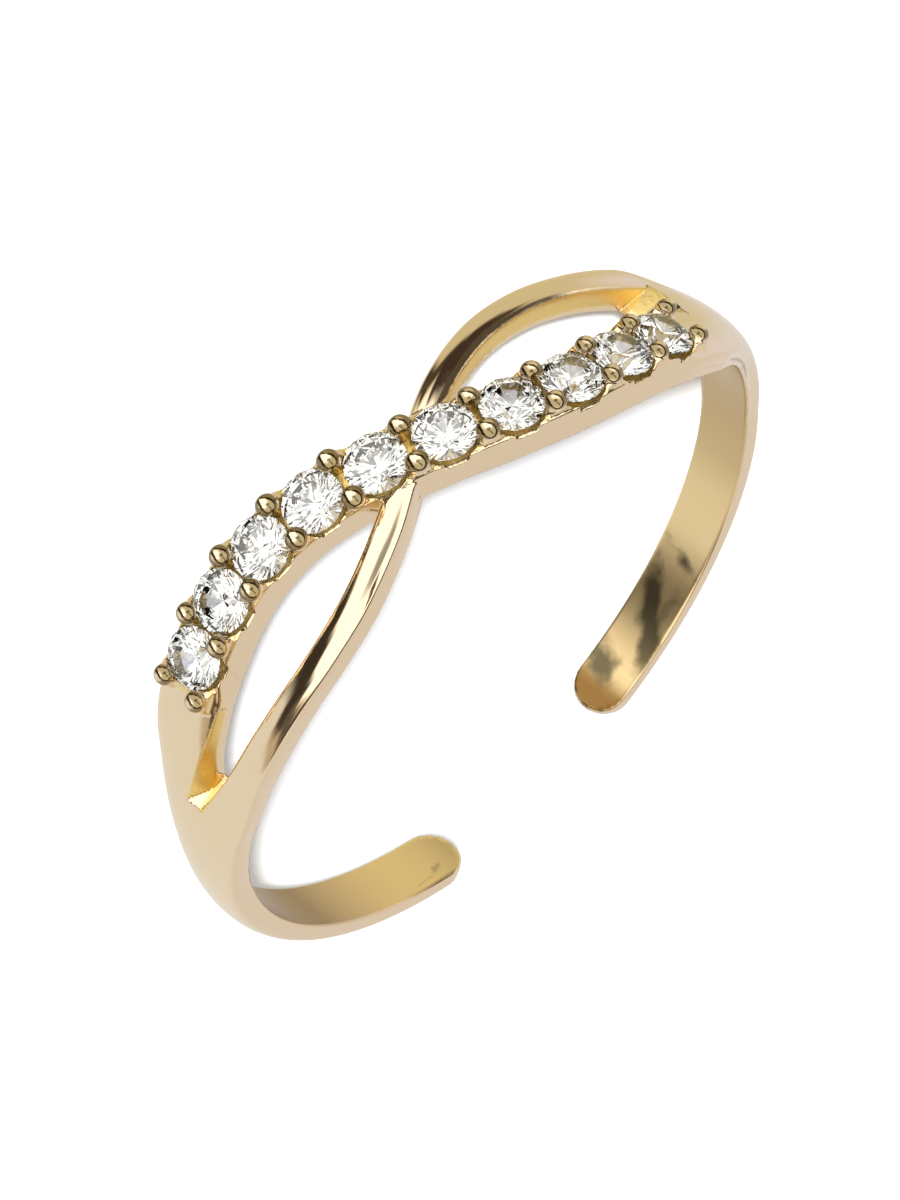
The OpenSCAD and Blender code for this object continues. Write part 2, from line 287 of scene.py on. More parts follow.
def band_distance(a, across, height):
    """The band round the back, its shoulders, and the floor that slopes down into each fork."""
    end = np.where(a < 0, LEFT_END, RIGHT_END)
    bent = np.clip((np.abs(a) - JOIN - SHOULDER_REACH) / (end - JOIN - SHOULDER_REACH), 0, 1)
    drift = np.where(a < 0, LEFT_DRIFT * bent * bent, 0)
    low, high = whole_edges(a)
    middle = (low + high) / 2 + drift
    half = (high - low) / 2
    past = np.maximum(np.radians(np.abs(a) - end + TIP_ANGLE) * BORE_R, 0)
    out = np.sqrt(past * past + (across - middle) ** 2) - half
    thick = BAND_T + (PLAIN_T - BAND_T) * left_to_lose(B_THICK, a)
    surface, slope = dome(out + half, 0, half, BAND_EDGE_T, thick)
    drop = TIP_DROP * ease(past / half, TIP_DROP_FROM, 1)
    surface = np.where(past > 0, surface - drop, surface)
    ramp = np.clip((np.abs(a) - web_end(a) + FORK_SLOPE) / FORK_SLOPE, 0, 1)
    steep = np.where((ramp > 0) & (ramp < 1), surface / (math.radians(FORK_SLOPE) * BORE_R), 0)
    top = under(height, surface * ramp, np.hypot(slope, steep))
    return soft_max(top, out, EDGE_ROUND)


def strand_distance(a, across, height, middle, half, top):
    """A domed strand, which turns into a part of the whole band's dome near the join."""
    merged = ease(np.abs(a) / JOIN, MERGE_FROM, 1)
    own, own_slope = dome(across, middle, half, PLAIN_EDGE_T, top)
    low, high = whole_edges(a)
    whole, whole_slope = dome(across, (low + high) / 2, (high - low) / 2, BAND_EDGE_T, PLAIN_T)
    surface = (1 - merged) * own + merged * whole
    slope = (1 - merged) * own_slope + merged * whole_slope
    sides = np.abs(across - middle) - half
    return soft_max(under(height, surface, slope), sides, EDGE_ROUND)


def rail_distance(a, across, height):
    """The stone strand along its row: sloping sides and a flat top, which turn into the
    shoulder's upright sides and dome at the row's ends."""
    end = ease(np.abs(a), ROW_HALF - PITCH / 2, ROW_END - ROW_LAP)
    wide = smooth(STRANDS, S_STONE_HALF, np.abs(a) / JOIN)
    slope = (RAIL_W - RAIL_TOP_W) / 2 * wide / RAIL_T * (1 - end)
    half = RAIL_W / 2 * wide - slope * height
    sides = (np.abs(across - stone_middle(a)) - half) / np.sqrt(1 + slope * slope)
    domed, tilt = dome(across, stone_middle(a), stone_half(a), PLAIN_EDGE_T, RAIL_T)
    top = under(height, RAIL_T + (domed - RAIL_T) * end, tilt * end)
    return soft_max(top, sides, EDGE_ROUND)


def fork_bevel(a, across, height):
    """Bevel on the stone strand's inner edge left of the row, which widens towards the fork."""
    share = np.clip((np.abs(a) - ROW_END) / (JOIN - ROW_END), 0, 1)
    wide = BEVEL_W * share ** BEVEL_GROWTH
    slope = wide / (RAIL_T - BEVEL_FOOT)
    inwards = stone_half(a) + side(a) * (across - stone_middle(a))
    return ((height - BEVEL_FOOT) * slope - inwards) / np.sqrt(1 + slope * slope)


def past_angle(a, limit):
    """Distance past an angle on either half of the ring, negative before it."""
    return np.radians(np.abs(a) - limit) * ROW_R


def local(a, across, height, at, middle, near):
    """Places about the upright at an angle: along, across and above the bore, for near points."""
    turn = np.radians(a[near] - at)
    r = BORE_R + height[near]
    return r * np.sin(turn), across[near] - middle, r * np.cos(turn) - BORE_R


def bead_places():
    """Angle, place across and size of each bead, in pairs along the row."""
    for j in range(STONE_COUNT + 1):
        place = j / STONE_COUNT * 2 - 1
        a = place * ROW_HALF
        turn = math.radians(float(smooth(PAIRS, P_TURN, place)))
        size = float(smooth(PAIRS, P_SIZE, place))
        for way in (-1, 1):
            spread = way * BEAD_SPREAD * float(smooth(PAIRS, P_SPREAD, place))
            along = -spread * math.sin(turn) / ROW_R
            yield a + math.degrees(along), float(stone_middle(a)) + spread * math.cos(turn), size


def stone_angle(i):
    return (i - (STONE_COUNT + 1) / 2) * PITCH


BEADS = list(bead_places())
SEATS = [(stone_angle(i), float(stone_middle(stone_angle(i)))) for i in range(1, STONE_COUNT + 1)]


def add_beads(d, a, across, height):
    """Beads on mounds that fall off to the seats. The mounds are filed flush with the strand's
    upper side and hang a little over its lower side, and the beads' round tops stay whole."""
    foot = FLOOR_H - BEAD_DEPTH
    slope = (RAIL_W - RAIL_TOP_W) / RAIL_W * stone_half(a) / RAIL_T
    half = stone_half(a) - slope * height
    off = across - stone_middle(a)
    filed = np.maximum(off - half + FLUSH_INSET, -off - half - FAR_OVERHANG)
    for at, middle, size in BEADS:
        r = BEAD_D / 2 * size
        near = np.nonzero(np.abs(a - at) < BEAD_REACH)[0]
        if not len(near):
            continue
        x, y, z = local(a, across, height, at, middle, near)
        neck = BEAD_TOP_H - r
        bead = np.sqrt(x * x + y * y + (z - np.clip(z, foot, neck)) ** 2) - r
        bead = bead - MOUND_REACH * ease(neck - z, 0, MOUND_H)
        whole = ease(z, neck - FILED_BELOW_NECK * r, neck + FILED_ABOVE_NECK * r)
        bead = soft_max(bead, filed[near] - r * whole, BEAD_EDGE)
        d[near] = soft_min(d[near], bead, BEAD_FILLET)
    return d


def cut_seats(d, a, across, height):
    """Seats and drill holes: a stone's own shape with air round it, on a floor round the hole."""
    r = STONE_D / 2 + SEAT_AIR
    slope = PAVILION_SHARE * 2
    culet = GIRDLE_H - GIRDLE_T / 2 - PAVILION_SHARE * STONE_D
    floor_z = FLOOR_H - SEAT_AIR
    floor_r = r - (GIRDLE_H - GIRDLE_T / 2 - FLOOR_H) / slope
    drill_top = culet + DRILL_D / 2 * slope - SEAT_AIR
    girdle_top = GIRDLE_H + GIRDLE_T / 2 + SEAT_AIR
    table_top = girdle_top + CROWN_SHARE * STONE_D
    table_r = STONE_D / 2 * TABLE_SHARE + SEAT_AIR
    for at, middle in SEATS:
        near = np.nonzero(np.abs(a - at) < SEAT_REACH)[0]
        if not len(near):
            continue
        x, y, z = local(a, across, height, at, middle, near)
        out = np.hypot(x, y)
        low = out - np.interp(z, [drill_top, floor_z], [DRILL_D / 2, floor_r])
        low = np.maximum(low * LOW_CUT_SLANT, z - girdle_top)
        high = out - np.interp(z, [girdle_top, table_top], [r, table_r])
        high = np.maximum(high * HIGH_CUT_SLANT, floor_z - z)
        d[near] = soft_max(d[near], -np.minimum(low, high), SEAT_ROUND)
    return d


def casting(a, across, height):
    """Distance to the gold, negative inside it."""
    crossing = 1 - ease(np.abs(a) / JOIN, CROSS_WHOLE, CROSS_GONE)
    plain = strand_distance(a, across, height, plain_middle(a), plain_half(a), PLAIN_T)
    plain = np.maximum(plain, past_angle(a, JOIN + STRAND_LAP))
    shoulder = strand_distance(a, across, height, stone_middle(a), stone_half(a), RAIL_T)
    shoulder = np.maximum(shoulder, past_angle(a, JOIN + STRAND_LAP))
    shoulder = np.maximum(shoulder, -past_angle(a, ROW_END - ROW_LAP))
    bevel = fork_bevel(a, across, height)
    shoulder = np.where(a < -ROW_END, soft_max(shoulder, bevel, BEVEL_ROUND), shoulder)
    rail = np.maximum(rail_distance(a, across, height), past_angle(a, ROW_END))
    row = np.minimum(rail, shoulder)
    row = add_beads(row, a, across, height)
    d = soft_min(row, plain, np.maximum(CROSS_FILLET * crossing, LEAST_FILLET))
    band = np.maximum(band_distance(a, across, height), -past_angle(a, web_end(a) - FORK_SLOPE))
    d = np.minimum(d, band)
    groove = np.maximum(np.abs(across - stone_middle(a)) - GROOVE_W / 2, FLOOR_H - height)
    groove = np.maximum(groove, past_angle(a, ROW_HALF - PITCH / 2))
    d = soft_max(d, -groove, SEAT_ROUND)
    d = cut_seats(d, a, across, height)
    return soft_max(d, -height, BORE_ROUND)


def ring_points(a, across, height):
    """Points of the ring's own frame at angles, places across and heights above the bore."""
    turn = np.radians(a)
    r = BORE_R + height
    return np.stack([r * np.sin(turn), r * np.cos(turn), across], axis=-1)


def ring_places(points):
    """Angles, places across and heights above the bore at points of the ring's own frame."""
    a = np.degrees(np.arctan2(points[:, 0], points[:, 1]))
    height = np.hypot(points[:, 0], points[:, 1]) - BORE_R
    return a, points[:, 2], height


def distance_at(points):
    """Distance to the gold at points of the ring's own frame."""
    return casting(*ring_places(points))


def slopes_at(points):
    """How the distance to the gold grows along each axis of the ring's own frame."""
    columns = []
    for axis in range(3):
        shift = np.zeros(3)
        shift[axis] = SLOPE_STEP
        rise = distance_at(points + shift) - distance_at(points - shift)
        columns.append(rise / (2 * SLOPE_STEP))
    return np.stack(columns, axis=-1)


def grid_angles():
    """Angles of the grid: close together over the crown, further apart round the back."""
    fine = math.degrees(CROWN_CELL / ROW_R)
    coarse = math.degrees(SHANK_CELL / ROW_R)
    angles = [0.0]
    while angles[-1] < RIGHT_END + EMPTY_ANGLE:
        grown = float(ease(angles[-1], JOIN, JOIN + CELL_GROWTH))
        angles.append(angles[-1] + fine + (coarse - fine) * grown)
    right = np.array(angles)
    left = right[(right > 0) & (right < LEFT_END + EMPTY_ANGLE)]
    return np.concatenate([-left[::-1], right])


def grid_axes():
    """Angles, places across and heights of the grid's points, to a little beyond the casting."""
    widest = float(stone_edge(np.array([WIDEST_AT * JOIN]))[0]) + EMPTY_CELLS * ACROSS_CELL
    across = np.arange(-widest, widest + ACROSS_CELL, ACROSS_CELL)
    margin = EMPTY_CELLS * HEIGHT_CELL
    heights = np.arange(-margin, BEAD_TOP_H + margin, HEIGHT_CELL)
    return grid_angles(), across, heights


# A cell's eight corners, as steps from its first one, and the cells round an edge of the grid
CORNERS = [(i, j, k) for i in (0, 1) for j in (0, 1) for k in (0, 1)]
CELLS_ROUND_EDGE = [(-1, -1), (0, -1), (0, 0), (-1, 0)]


def crossed_cells(inside):
    """The cells that the surface crosses, and their numbers in an array of all cells."""
    shape = tuple(n - 1 for n in inside.shape)
    count = np.zeros(shape, np.int8)
    for i, j, k in CORNERS:
        count += inside[i:shape[0] + i, j:shape[1] + j, k:shape[2] + k]
    cells = np.argwhere((count > 0) & (count < len(CORNERS)))
    numbers = np.full(shape, -1, np.int64)
    numbers[tuple(cells.T)] = np.arange(len(cells))
    return cells, numbers


def middles_of_crossings(field, cells):
    """The middle of the places where each cell's edges meet the surface, in steps of the grid."""
    values = {corner: field[tuple((cells + corner).T)] for corner in CORNERS}
    total = np.zeros((len(cells), 3))
    hits = np.zeros(len(cells))
    for corner in CORNERS:
        for axis in range(3):
            if corner[axis]:
                continue
            other = tuple(1 if n == axis else corner[n] for n in range(3))
            low = values[corner]
            high = values[other]
            crossed = (low < 0) != (high < 0)
            t = np.where(crossed, low / np.where(crossed, low - high, 1), 0)
            along = [float(n == axis) for n in range(3)]
            spot = np.array(corner, float) + np.outer(t, along)
            total += spot * crossed[:, None]
            hits += crossed
    return cells + total / hits[:, None]


def quads_round_edges(axis, inside, numbers):
    """A quad of four cells' points round each edge of the grid along an axis that is crossed."""
    b, c = [n for n in range(3) if n != axis]
    low = [slice(None)] * 3
    high = [slice(None)] * 3
    low[axis] = slice(0, -1)
    high[axis] = slice(1, None)
    first = inside[tuple(low)]
    edges = np.argwhere(first != inside[tuple(high)])
    edges = edges[(edges[:, b] > 0) & (edges[:, c] > 0)]
    edges = edges[(edges[:, b] < numbers.shape[b]) & (edges[:, c] < numbers.shape[c])]
    outwards = first[tuple(edges.T)]
    around = []
    for step_b, step_c in CELLS_ROUND_EDGE:
        step = np.zeros(3, int)
        step[b] = step_b
        step[c] = step_c
        around.append(numbers[tuple((edges + step).T)])
    quads = np.stack(around, axis=-1)
    flip = ~outwards if axis == 1 else outwards
    quads[flip] = quads[flip][:, ::-1]
    return quads


def skin():
    """Points and quads round the casting, with one point in each cell that its surface crosses."""
    axes = grid_axes()
    grid = np.meshgrid(*axes, indexing="ij")
    field = casting(*[part.ravel() for part in grid]).reshape(grid[0].shape)
    inside = field < 0
    cells, numbers = crossed_cells(inside)
    steps = middles_of_crossings(field, cells)
    places = [np.interp(steps[:, n], np.arange(len(axes[n])), axes[n]) for n in range(3)]
    quads = [quads_round_edges(axis, inside, numbers) for axis in range(3)]
    return ring_points(*places), np.concatenate(quads)


def evened_out(points, ends):
    """Points moved towards the middle of their neighbours, where ends are the edges' points."""
    total = np.zeros_like(points)
    times = np.zeros(len(points))
    np.add.at(total, ends[:, 0], points[ends[:, 1]])
    np.add.at(times, ends[:, 0], 1)
    return points + SETTLE_SHARE * (total / times[:, None] - points)


def settle(points, quads):
    """Moves the points onto the surface, evening them out along it on the way."""
    ends = np.concatenate([quads[:, [k, (k + 1) % 4]] for k in range(4)])
    for turn in range(SETTLE_ROUNDS):
        if turn:
            points = evened_out(points, ends)
        slope = slopes_at(points)
        length = np.maximum((slope * slope).sum(axis=1), LEAST_SLOPE)
        move = -(distance_at(points) / length)[:, None] * slope
        size = np.linalg.norm(move, axis=1)[:, None]
        points = points + move * (LONGEST_MOVE / np.maximum(size, LONGEST_MOVE))
    return points


# How the ring lies: on the edges of its two strands, at shares of the join angle, and on the
# band's edge at an angle round the back
REST_STONE_SIDE = 0.5
REST_PLAIN_SIDE = 0.52
REST_BACK = 136


def lying():
    """The matrix from the ring's own frame, in millimetres, to the part's, in metres."""
    left = REST_STONE_SIDE * JOIN
    right = REST_PLAIN_SIDE * JOIN

    def spot(a, across, r):
        return Vector(ring_points(a, float(across), r - BORE_R))

    contact = spot(-left, -stone_edge(np.array([left]))[0], BORE_R)
    to_right = spot(right, -plain_edge(np.array([right]))[0], BORE_R) - contact
    to_back = spot(REST_BACK, -BAND_W / 2, BORE_R + BAND_EDGE_T) - contact
    up = to_back.cross(to_right).normalized()
    turn = up.rotation_difference(Vector((0, 0, 1))).to_matrix().to_4x4()
    front = BORE_R + BEAD_TOP_H
    back = (BORE_R + BAND_T) * math.cos(math.radians(180 - RIGHT_END + TIP_ANGLE))
    shift = Matrix.Translation((0, (back - front) / 2, -contact.dot(up)))
    return Matrix.Scale(MM, 4) @ shift @ turn


LYING = lying()

# The photograph's view, in the ring's own frame
VIEW_FROM = (-19.533, 89.607, 39.871)
VIEW_RIGHT = (0.68301, -0.17435, 0.70929)
VIEW_UP = (0.70417, 0.4151, -0.57605)
LENS = 137.4
SENSOR = 36

# The nearest and the furthest thing that the camera sees, in metres
CLIP_NEAR = 0.005
CLIP_FAR = 10


def add_camera():
    """The camera that sees the ring as the photograph does."""
    data = bpy.data.cameras.new("camera")
    data.sensor_fit = "AUTO"
    data.sensor_width = SENSOR
    data.lens = LENS
    data.clip_start = CLIP_NEAR
    data.clip_end = CLIP_FAR
    camera = bpy.data.objects.new("camera", data)
    bpy.context.scene.collection.objects.link(camera)
    right = Vector(VIEW_RIGHT)
    up = Vector(VIEW_UP)
    axes = Matrix((right, up, right.cross(up))).transposed()
    turn = LYING.to_quaternion().to_matrix()
    camera.matrix_world = Matrix.Translation(LYING @ Vector(VIEW_FROM)) @ (turn @ axes).to_4x4()
    bpy.context.scene.camera = camera
    return camera


# Gold where it is polished, and in the satin bore; painted shade and dark reflection in the bore;
#  faint random spots, with painted dark reflections as spots in the bore; the deeper gold of painted
#  reflection of the gold in its rough recesses; and painted dark reflection on the beads' domes
POLISHED = (0.86, 0.70, 0.49)
SATIN = (0.98, 0.76, 0.42)
BORE_SHADE_COLOUR = (0.24, 0.13, 0.04)
SPOTS_AND_DARK_REFLECTION = (0.12, 0.10, 0.055)
RECESS_REFLECTION_GOLD = (0.90, 0.68, 0.25)
BEAD_DARK_REFLECTION = (0.30, 0.23, 0.12)

# Heights up to which the gold is satin, and from which it is polished
SATIN_TO = 0.01
POLISH_FROM = 0.05

# How much shade and dark reflection is painted on the bore, by angle from the crown
BORE_SHADE_BY_ANGLE = np.array([
    [-168, 0.2],
    [-155, 0.0],
    [-147, 0.0],
    [-142, 0.05],
    [-137, 0.17],
    [-130, 0.41],
    [-120, 0.8],
    [-100, 0.9],
    [60, 0.55],
    [95, 0.58],
    [102, 0.55],
    [113, 0.43],
    [121, 0.18],
    [132, 0.0],
    [140, 0.3],
    [154, 0.4],
    [160, 0.32],
    [163.5, 1.0],
    [168, 1.0],
])

# Dark reflections painted as spots in the bore: angle, place across, degrees that it leans, half
#  length, half width, depth
BORE_DARK_REFLECTIONS = [
    (146, -0.1, 24, 0.95, 0.3, 0.9),
    (152, 0.36, 30, 0.85, 0.3, 0.95),
    (146, 0.32, 0, 0.9, 0.2, 0.6),
    (160, -0.33, 60, 0.6, 0.42, 0.8),
    (136, 0.05, 65, 0.9, 0.2, 0.62),
    (-152, 0.41, 20, 0.2, 0.14, 0.6),
    (-148, 0.58, 5, 0.5, 0.06, 0.35),
]

# Where the casting is left rough, and painted with the deeper gold of its reflection of itself in
#  these recesses. A pair holds where a measure starts to count and where it counts in full. A side is
#  a share of a strand's half width, and a tilt is the normal's part across.
PAST_ROW = (0, 2)
GAP_FORK_SIDE = (0.9, 0.97)
GAP_ROW_SIDE = (0.8, 0.9)
GAP_TILT = (-0.6, -0.4)
FLANK_TILT = (0.8, 0.93)
FLANK_ANGLE = (5, 9)
FLANK_HEIGHT = (0.1, 0.22)
FORK_FADE = 3
WEB_FADE = 0.5
SEAT_FADE = 0.08
ABOVE_SEATS = (0.02, 0.1)
BEVEL_DEPTH = (0.06, 0.02)
BEVEL_SIDE = (0, 0.3)
BEVEL_EDGE = (1.02, 1.08)
BEVEL_TILT = (0.25, 0.4)
BEVEL_FADE = 0.05

# Noise on the gold: its scale to the metre and its detail
CLOUD_NOISE = (2200, 4)
GRIT_NOISE = (9000, 2)
MARK_NOISE = (2600, 4)
WAVE_NOISE = (900, 2)

# How the noise counts. Four numbers are a range of the noise and the range that it becomes. Waves
# and grain are shares of the bump's height.
STREAK_TURN = 20
STREAK_STRETCH = 0.3
CLOUDS = (0.65, 1.25, 0, 0.95)
GRIT_DEPTH = (0.3, 0.6, 0.75, 1)
MARKS_ROUGH = (0.3, 0.75, 0.05, 0.12)
SATIN_ROUGH = 0.3
RAW_ROUGH = 0.4
WAVE_H = 0.1
GRAIN_H = 0.5
BUMP = 0.8
BUMP_H = 0.02

# The clear stones, and the floor, which reaches some metres from the ring
STONE_TINT = (0.77, 0.78, 0.80)
STONE_IOR = 2.12
FLOOR_REACH = 2.0
FLOOR_TONE = (0.92, 0.92, 0.92)
FLOOR_ROUGH = 0.9

# The room round the ring. A wall has a direction, a half angle, a softness and a colour. A gap has
# the directions that it runs through, a half width, a softness and a colour. Directions are in the
# photograph's own axes: right, up and towards the camera.
OPENING = (1.75, 1.72, 1.62)
ROOM_NOISE = (4.0, 6)
NOISE_MIDDLE = (0.5, 0.5, 0.5)
ROOM_BEND = (0.1, 0.1, 0.1)
WALLS = [
    ((0.25, 0.76, -0.6), 66, 5, (0.73, 0.67, 0.46)),
    ((-0.559, -0.534, -0.635), 71, 3, (0.86, 0.86, 0.83)),
    ((0.7, -0.35, -0.62), 52, 10, (0.79, 0.76, 0.74)),
    ((0.75, 0.4, -0.52), 22, 14, (0.84, 0.82, 0.90)),
    ((0.03, 0.2, 0.98), 15, 7, (0.4, 0.4, 0.38)),
]
GAPS = [
    (((-0.9, -0.1, 0.42), (-0.72, -0.5, 0.47), (-0.3, -0.86, 0.42), (0.0, -0.96, 0.3)),
     11, 4, (0.6, 0.5, 0.38)),
    (((-0.62, 0.66, -0.43), (-0.5, 0.86, 0.05), (-0.05, 0.97, 0.24)),
     6, 3, (0.08, 0.06, 0.04)),
    (((0.0, 0.93, 0.35), (0.33, 0.86, 0.38), (0.6, 0.70, 0.38)),
     11, 3, (0.06, 0.04, 0.03)),
    (((-0.86, 0.4, -0.3), (-0.95, 0.2, 0.2), (-0.87, -0.1, 0.48), (-0.8, -0.33, 0.5),
      (-0.6, -0.56, 0.56)),
     11, 4, (0.05, 0.04, 0.03)),
    (((-0.6, -0.56, 0.56), (-0.3, -0.83, 0.47), (0.1, -0.95, 0.28)),
     5, 2.5, (0.12, 0.1, 0.08)),
    (((0.28, -0.1, 0.95), (0.62, -0.45, 0.64)),
     4.5, 2.5, (0.12, 0.1, 0.07)),
    (((0.66, 0.62, 0.42), (0.9, 0.3, 0.3), (0.97, -0.15, 0.2), (0.8, -0.58, 0.15),
      (0.45, -0.87, 0.2), (0.1, -0.96, 0.28)),
     9, 4, (0.1, 0.08, 0.06)),
]
FLOOR_LIGHT = (0.6, 0.6, 0.6)
BACKDROP = (1, 1, 1)

# The light that throws the shadow: its strength, how wide it looks, and its direction in the
# photograph's own axes
SHADOW_LIGHT = 9
SHADOW_SOFT = 6
SHADOW_LIGHT_FROM = (-0.01, 0.01, 1.0)


def towards(camera, right, up, back):
    """Unit direction in the part's frame of one given in the photograph's own axes."""
    return (camera.matrix_world.to_3x3() @ Vector((right, up, back))).normalized()


def inner_share(height):
    """1 on the bore, which is left satin, and 0 on the polished outside."""
    return 1 - ease(height, SATIN_TO, POLISH_FROM)


def bore_shade_share(a):
    """How much shade and dark reflection is painted on the bore at an angle."""
    return np.interp(a, BORE_SHADE_BY_ANGLE[:, 0], BORE_SHADE_BY_ANGLE[:, 1])


def dark_reflection_share(a, across):
    """How much painted dark reflection there is at a place in the bore."""
    total = np.zeros_like(a)
    for angle, middle, lean, long, wide, depth in BORE_DARK_REFLECTIONS:
        along = np.radians(a - angle) * BORE_R
        beside = across - middle
        c = math.cos(math.radians(lean))
        s = math.sin(math.radians(lean))
        u = along * c + beside * s
        v = beside * c - along * s
        total = np.maximum(total, depth * np.exp(-(u / long) ** 2 - (v / wide) ** 2))
    return total


def bead_reflection_share(height):
    """1 on the beads' domes, which are painted with dark reflection, and 0 on their tops, which are
     left polished as a painted highlight.
    """
    darkened = ease(height, CAP_FROM, CAP_FROM + CAP_FADE)
    return darkened * (1 - ease(height, CAP_HIGHLIGHT_FROM, CAP_HIGHLIGHT_FROM + CAP_HIGHLIGHT_FADE))


def fork_side(a, across):
    """Place across from the stone strand's middle: 1 at its edge that faces the fork."""
    return -side(a) * (across - stone_middle(a)) / stone_half(a)


def row_side(a, across):
    """Place across from the plain strand's middle: 1 at its edge that faces the row."""
    return side(a) * (across - plain_middle(a)) / plain_half(a)


def past_row(a):
    """1 in the shoulders and 0 along the row of stones."""
    return ease(np.abs(a) - ROW_HALF, *PAST_ROW)


def rough_gap(a, across, height, tilt):
    """1 on the plain strand's side that faces the row, and on the floors of the forks."""
    facing = side(a) * tilt
    floor = web_end(a) - FORK_SLOPE
    in_fork = ease(np.abs(a), floor - FORK_FADE, floor)
    in_fork *= 1 - ease(np.abs(a), web_end(a), web_end(a) + WEB_FADE)
    rough = np.maximum(ease(facing, *FLANK_TILT), in_fork) * ease(facing, *GAP_TILT)
    rough *= ease(fork_side(a, across), *GAP_FORK_SIDE) * ease(row_side(a, across), *GAP_ROW_SIDE)
    return rough * ease(np.abs(a), *FLANK_ANGLE) * ease(height, *FLANK_HEIGHT)


def rough_seats(a, across, height):
    """1 round the seats, between the filed edges of the row's upper side."""
    top_half = RAIL_TOP_W / RAIL_W * stone_half(a)
    off = np.abs(across - stone_middle(a))
    rough = (1 - ease(off, top_half - SEAT_FADE, top_half)) * (1 - past_row(a))
    return rough * (1 - ease(height - RAIL_T, *ABOVE_SEATS))


def rough_bevel(a, across, height, tilt):
    """1 on the bevel in the left fork."""
    off = fork_side(a, across)
    rough = ease(-fork_bevel(a, across, height), *BEVEL_DEPTH) * ease(-side(a) * tilt, *BEVEL_TILT)
    rough *= ease(height, BEVEL_FOOT - BEVEL_FADE, BEVEL_FOOT + BEVEL_FADE) * past_row(a)
    return rough * ease(off, *BEVEL_SIDE) * (1 - ease(off, *BEVEL_EDGE)) * (a < 0)


def raw_and_reflecting_share(a, across, height, tilt):
    """1 where the file and the polish don't reach, and where the gold is painted deeper as its
     reflection of itself in these recesses.
    """
    rough = np.maximum(rough_seats(a, across, height), rough_gap(a, across, height, tilt))
    rough = np.maximum(rough, rough_bevel(a, across, height, tilt))
    return np.where(np.abs(a) < JOIN + STRAND_LAP, rough, 0) * (1 - inner_share(height))


def add_share(piece, name, values):
    """Stores a value for each of a piece's points, which its material reads by name."""
    attribute = piece.data.attributes.new(name, "FLOAT", "POINT")
    attribute.data.foreach_set("value", np.asarray(values, np.float32))


def mesh_object(name, points, faces, normals=None):
    mesh = bpy.data.meshes.new(name)
    mesh.from_pydata(points.tolist(), [], faces.tolist())
    mesh.polygons.foreach_set("use_smooth", np.ones(len(mesh.polygons), bool))
    if normals is not None:
        mesh.normals_split_custom_set_from_vertices(normals.tolist())
    mesh.update()
    piece = bpy.data.objects.new(name, mesh)
    bpy.context.scene.collection.objects.link(piece)
    return piece


def to_part(points, matrix):
    """Points moved by a matrix from the ring's own frame to the part's."""
    rows = np.array(matrix)
    return points @ rows[:3, :3].T + rows[:3, 3]


def casting_piece():
    """The casting's smooth skin, with the shares that its material paints by."""
    points, quads = skin()
    points = settle(points, quads)
    normals = slopes_at(points)
    normals /= np.linalg.norm(normals, axis=1)[:, None]
    turn = np.array(LYING.to_quaternion().to_matrix())
    piece = mesh_object("gold_ring", to_part(points, LYING), quads, normals @ turn.T)
    a, across, height = ring_places(points)
    inner = inner_share(height)
    add_share(piece, "inner", inner)
    # Painted shade and dark reflection on the bore
    add_share(piece, "bore_shade", inner * bore_shade_share(a))
    # Painted dark reflections as spots in the bore
    add_share(piece, "dark_reflection", inner * dark_reflection_share(a, across))
    # Rough recesses: real roughness and grain, and painted reflection of the gold in their colour
    add_share(piece, "raw_and_reflecting", raw_and_reflecting_share(a, across, height, normals[:, 2]))
    # Painted dark reflection on the beads' domes, with their tops left as a painted highlight
    add_share(piece, "bead_reflection", bead_reflection_share(height))
    return piece


def operation_node(tree, kind, operation, values):
    """A node that works out one operation on results of other nodes, numbers and vectors."""
    out = tree.nodes.new(kind)
    out.operation = operation
    for socket, value in zip(out.inputs, values):
        if isinstance(value, bpy.types.NodeSocket):
            tree.links.new(value, socket)
        else:
            socket.default_value = value
    return out


def math_node(tree, operation, *values):
    return operation_node(tree, "ShaderNodeMath", operation, values).outputs["Value"]


def vector_node(tree, operation, *values):
    return operation_node(tree, "ShaderNodeVectorMath", operation, values).outputs["Vector"]


def dot_product(tree, first, second):
    return operation_node(tree, "ShaderNodeVectorMath", "DOT_PRODUCT", (first, second)).outputs["Value"]


def noise(tree, place, scale, detail, output="Fac"):
    texture = tree.nodes.new("ShaderNodeTexNoise")
    texture.inputs["Scale"].default_value = scale
    texture.inputs["Detail"].default_value = detail
    tree.links.new(place, texture.inputs["Vector"])
    return texture.outputs[output]


def remap(tree, value, low, high, to_low=0, to_high=1):
    """A value's range from low to high stretched to another range."""
    out = tree.nodes.new("ShaderNodeMapRange")
    out.interpolation_type = "SMOOTHSTEP"
    out.inputs["From Min"].default_value = low
    out.inputs["From Max"].default_value = high
    out.inputs["To Min"].default_value = to_low
    out.inputs["To Max"].default_value = to_high
    tree.links.new(value, out.inputs["Value"])
    return out.outputs["Result"]


def one_colour(tree, colour):
    out = tree.nodes.new("ShaderNodeRGB").outputs["Color"]
    out.default_value = (*colour, 1)
    return out


def paint(tree, colour, mask, over):
    """One colour with another over it where the mask is 1."""
    mix = tree.nodes.new("ShaderNodeMix")
    mix.data_type = "RGBA"
    tree.links.new(mask, mix.inputs["Factor"])
    tree.links.new(colour, mix.inputs["A"])
    mix.inputs["B"].default_value = (*over, 1)
    return mix.outputs["Result"]


def stored(tree, name):
    """A value that is stored with the mesh's points."""
    out = tree.nodes.new("ShaderNodeAttribute")
    out.attribute_name = name
    return out.outputs["Fac"]


def new_material(name):
    material = bpy.data.materials.new(name)
    material.use_nodes = True
    return material, material.node_tree.nodes["Principled BSDF"]


